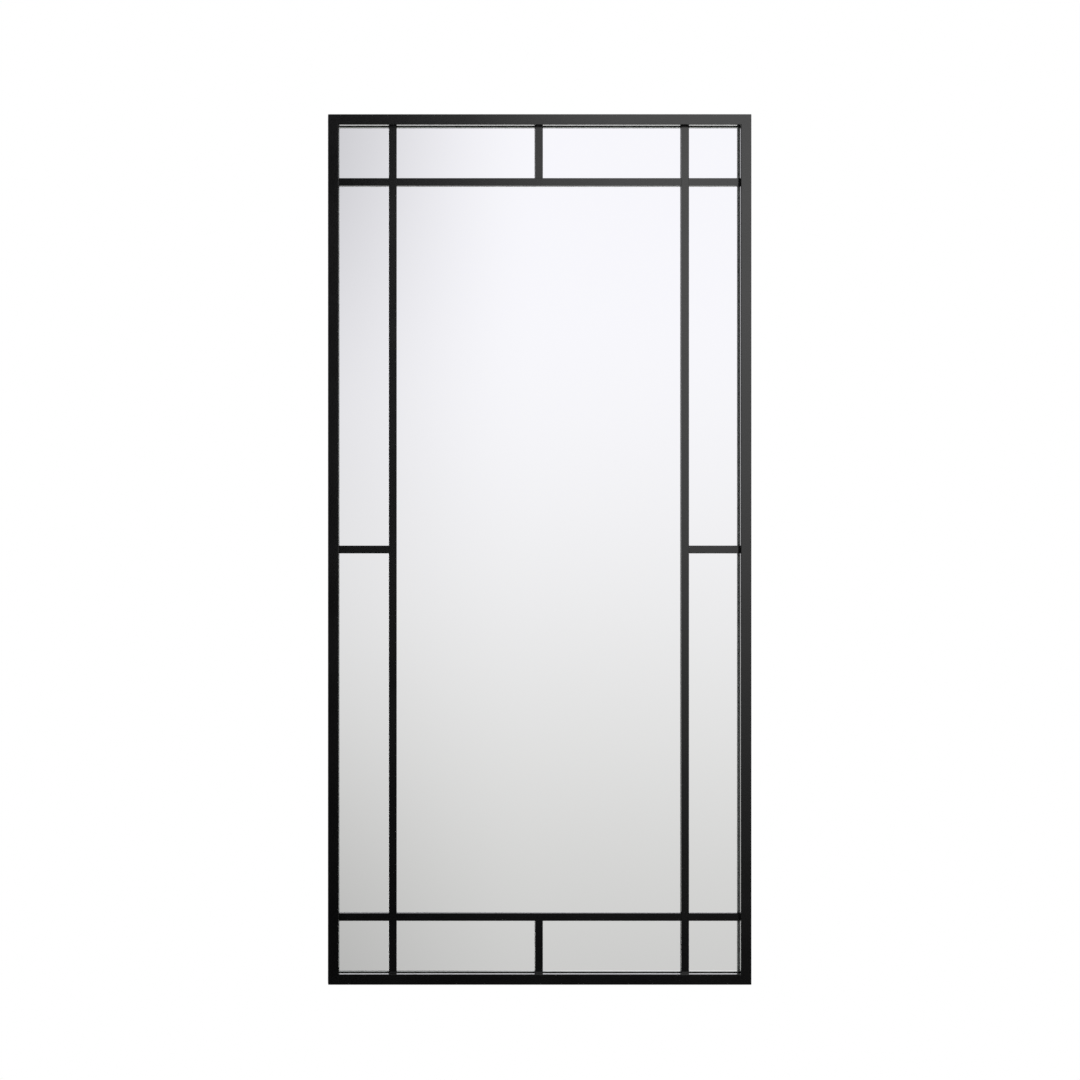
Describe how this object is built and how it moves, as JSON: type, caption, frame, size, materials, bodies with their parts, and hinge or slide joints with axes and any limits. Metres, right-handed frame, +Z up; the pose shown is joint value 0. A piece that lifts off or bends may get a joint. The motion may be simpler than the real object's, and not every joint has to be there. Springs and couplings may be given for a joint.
{
  "type": "rectangular wall mirror",
  "caption": "Tall rectangular mirror in a black square-tube steel frame, with a grid of flat steel bars over the glass and ring hangers on the back.",
  "frame": {"origin": "on the wall, midway between the two wall hooks that carry the raised rings", "axes": "+X to the mirror's right as seen from the front, +Y into the wall, +Z up"},
  "size_m": [0.8, 0.031, 1.645],
  "materials": {
    "frame_black": "semi-gloss black powder coat",
    "bar_black": "semi-gloss black powder coat",
    "foam_tape": "matt black foam tape",
    "mirror": "silvered float glass",
    "block_rubber": "hard black rubber",
    "packing_foam": "closed-cell foam",
    "hardboard": "brown hardboard",
    "zinc_screw": "bright zinc plate",
    "zinc_strap": "satin zinc plate",
    "yellow_screw": "yellow zinc plate",
    "ring_wire": "bright zinc plated wire",
    "bumper_rubber": "matt black rubber"
  },
  "bodies": {
    "mirror": {"top_rail": "frame_black", "bottom_rail": "frame_black", "left_stile": "frame_black", "right_stile": "frame_black", "left_long_bar": "bar_black", "right_long_bar": "bar_black", "top_cross_bar": "bar_black", "bottom_cross_bar": "bar_black", "top_left_stub": "bar_black", "top_right_stub": "bar_black", "bottom_left_stub": "bar_black", "bottom_right_stub": "bar_black", "top_centre_bar": "bar_black", "bottom_centre_bar": "bar_black", "left_mid_bar": "bar_black", "right_mid_bar": "bar_black", "glazing_tape": "foam_tape", "mirror_glass": "mirror", "setting_blocks": "block_rubber", "foam_strips": "packing_foam", "back_board": "hardboard", "board_screws": "zinc_screw", "left_hanger_strap": "zinc_strap", "right_hanger_strap": "zinc_strap", "hanger_screws": "yellow_screw", "top_left_bumper": "bumper_rubber", "top_right_bumper": "bumper_rubber", "bottom_left_bumper": "bumper_rubber", "bottom_right_bumper": "bumper_rubber"},
    "left_ring": {"left_hanging_ring": "ring_wire"},
    "right_ring": {"right_hanging_ring": "ring_wire"}
  },
  "joints": [
    {"name": "left_ring_hinge", "type": "hinge", "parent": "mirror", "child": "left_ring", "pos_m": [-0.387, -0.005, -0.0155], "axis": [1, 0, 0], "range_deg": [0, 180]},
    {"name": "right_ring_hinge", "type": "hinge", "parent": "mirror", "child": "right_ring", "pos_m": [0.387, -0.005, -0.0155], "axis": [1, 0, 0], "range_deg": [0, 180]}
  ]
}
